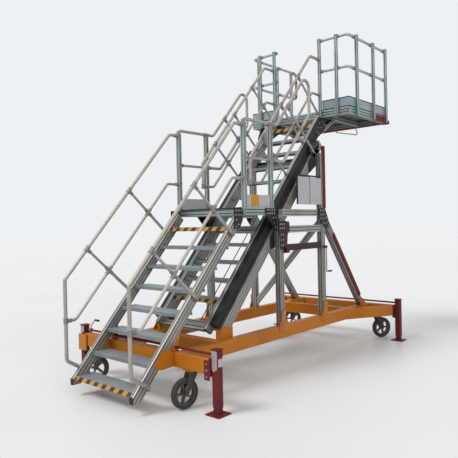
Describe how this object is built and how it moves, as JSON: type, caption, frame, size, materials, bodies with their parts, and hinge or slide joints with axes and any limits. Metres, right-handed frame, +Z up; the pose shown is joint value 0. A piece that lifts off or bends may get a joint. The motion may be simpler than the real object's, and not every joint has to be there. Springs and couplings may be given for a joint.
{
  "type": "aircraft maintenance stand",
  "caption": "Height-adjustable maintenance stand: a fixed stair and landing on a castored chassis, with a second flight and guarded platform sliding up inclined guides.",
  "frame": {"origin": "centre of the footprint on the floor", "axes": "+Z up, +Y the way a person climbs, towards the aircraft, +X the climber's right"},
  "size_m": [2.368, 4.882, 4.435],
  "materials": {
    "orange": "satin",
    "dark_red": "satin",
    "black": "satin",
    "rope_steel": "satin",
    "profile": "anodised",
    "tread": "ribbed",
    "rail": "satin",
    "hazard": "striped",
    "panel": "matt",
    "panel_aluminium": "satin",
    "dark_red_rubber": "matt",
    "fork_steel": "satin",
    "tyre": "matt",
    "hub_aluminium": "cast"
  },
  "bodies": {
    "base": {"side_beams": "orange", "cross_beams": "orange", "outriggers": "orange", "jack_sleeves": "dark_red", "link_shafts": "dark_red", "castor_plates": "orange", "lower_stringers": "profile", "lower_treads": "tread", "lower_noses": "hazard", "lower_rail_left": "rail", "lower_rail_right": "rail", "landing_frame": "profile", "landing_deck": "tread", "landing_posts": "profile", "landing_rail_left": "rail", "landing_rail_right": "rail", "landing_toe_boards": "panel", "guides": "profile", "guide_ties": "profile", "hoist_rope": "rope_steel", "joint_plates": "black", "foot_brackets": "orange", "support_posts": "profile", "rear_legs": "profile", "side_rails": "profile", "winch_beam": "dark_red", "hand_cranks": "black", "bumper_strips": "dark_red_rubber", "sign_boards": "panel", "sign_frame": "black"},
    "lift": {"upper_stringers": "profile", "side_bands": "black", "upper_treads": "tread", "upper_noses": "hazard", "upper_rail_left": "rail", "upper_rail_right": "rail", "platform_frame": "profile", "platform_deck": "tread", "platform_toe_boards": "panel_aluminium", "platform_posts": "profile", "platform_rail_left": "rail", "platform_rail_right": "rail", "rear_bumper": "dark_red_rubber", "carriage_plates": "black"},
    "jack_front_left": {"jack_leg_front_left": "dark_red"},
    "castor_front_left": {"castor_fork_front_left": "fork_steel"},
    "wheel_front_left": {"tyre_front_left": "tyre", "wheel_hub_front_left": "hub_aluminium"},
    "jack_front_right": {"jack_leg_front_right": "dark_red"},
    "castor_front_right": {"castor_fork_front_right": "fork_steel"},
    "wheel_front_right": {"tyre_front_right": "tyre", "wheel_hub_front_right": "hub_aluminium"},
    "jack_rear_left": {"jack_leg_rear_left": "dark_red"},
    "castor_rear_left": {"castor_fork_rear_left": "fork_steel"},
    "wheel_rear_left": {"tyre_rear_left": "tyre", "wheel_hub_rear_left": "hub_aluminium"},
    "jack_rear_right": {"jack_leg_rear_right": "dark_red"},
    "castor_rear_right": {"castor_fork_rear_right": "fork_steel"},
    "wheel_rear_right": {"tyre_rear_right": "tyre", "wheel_hub_rear_right": "hub_aluminium"}
  },
  "joints": [
    {"name": "lift_slide", "type": "slide", "parent": "base", "child": "lift", "axis": [0, 0.6691, 0.7431], "range_m": [0, 1.2]},
    {"name": "jack_front_left_slide", "type": "slide", "parent": "base", "child": "jack_front_left", "axis": [0, 0, 1], "range_m": [0, 0.05]},
    {"name": "jack_front_right_slide", "type": "slide", "parent": "base", "child": "jack_front_right", "axis": [0, 0, 1], "range_m": [0, 0.05]},
    {"name": "jack_rear_left_slide", "type": "slide", "parent": "base", "child": "jack_rear_left", "axis": [0, 0, 1], "range_m": [0, 0.05]},
    {"name": "jack_rear_right_slide", "type": "slide", "parent": "base", "child": "jack_rear_right", "axis": [0, 0, 1], "range_m": [0, 0.05]},
    {"name": "castor_front_left_swivel", "type": "hinge", "parent": "base", "child": "castor_front_left", "pos_m": [-0.74, -1.83, 0.3], "axis": [0, 0, 1], "continuous": true},
    {"name": "wheel_front_left_roll", "type": "hinge", "parent": "castor_front_left", "child": "wheel_front_left", "pos_m": [-0.80317, -1.88688, 0.152], "axis": [0.6691, -0.7431, 0], "continuous": true},
    {"name": "castor_front_right_swivel", "type": "hinge", "parent": "base", "child": "castor_front_right", "pos_m": [0.74, -1.83, 0.3], "axis": [0, 0, 1], "continuous": true},
    {"name": "wheel_front_right_roll", "type": "hinge", "parent": "castor_front_right", "child": "wheel_front_right", "pos_m": [0.72817, -1.91417, 0.152], "axis": [0.9903, -0.1392, 0], "continuous": true},
    {"name": "castor_rear_left_swivel", "type": "hinge", "parent": "base", "child": "castor_rear_left", "pos_m": [-0.74, 2.155, 0.3], "axis": [0, 0, 1], "continuous": true},
    {"name": "wheel_rear_left_roll", "type": "hinge", "parent": "castor_rear_left", "child": "wheel_rear_left", "pos_m": [-0.78875, 2.08537, 0.152], "axis": [0.8192, -0.5736, 0], "continuous": true},
    {"name": "castor_rear_right_swivel", "type": "hinge", "parent": "base", "child": "castor_rear_right", "pos_m": [0.74, 2.155, 0.3], "axis": [0, 0, 1], "continuous": true},
    {"name": "wheel_rear_right_roll", "type": "hinge", "parent": "castor_rear_right", "child": "wheel_rear_right", "pos_m": [0.7825, 2.22861, 0.152], "axis": [-0.866, 0.5, 0], "continuous": true}
  ],
  "couplings": [
    {"joint": "jack_front_right_slide", "follows": "jack_front_left_slide", "ratio": 1},
    {"joint": "jack_rear_right_slide", "follows": "jack_rear_left_slide", "ratio": 1}
  ]
}
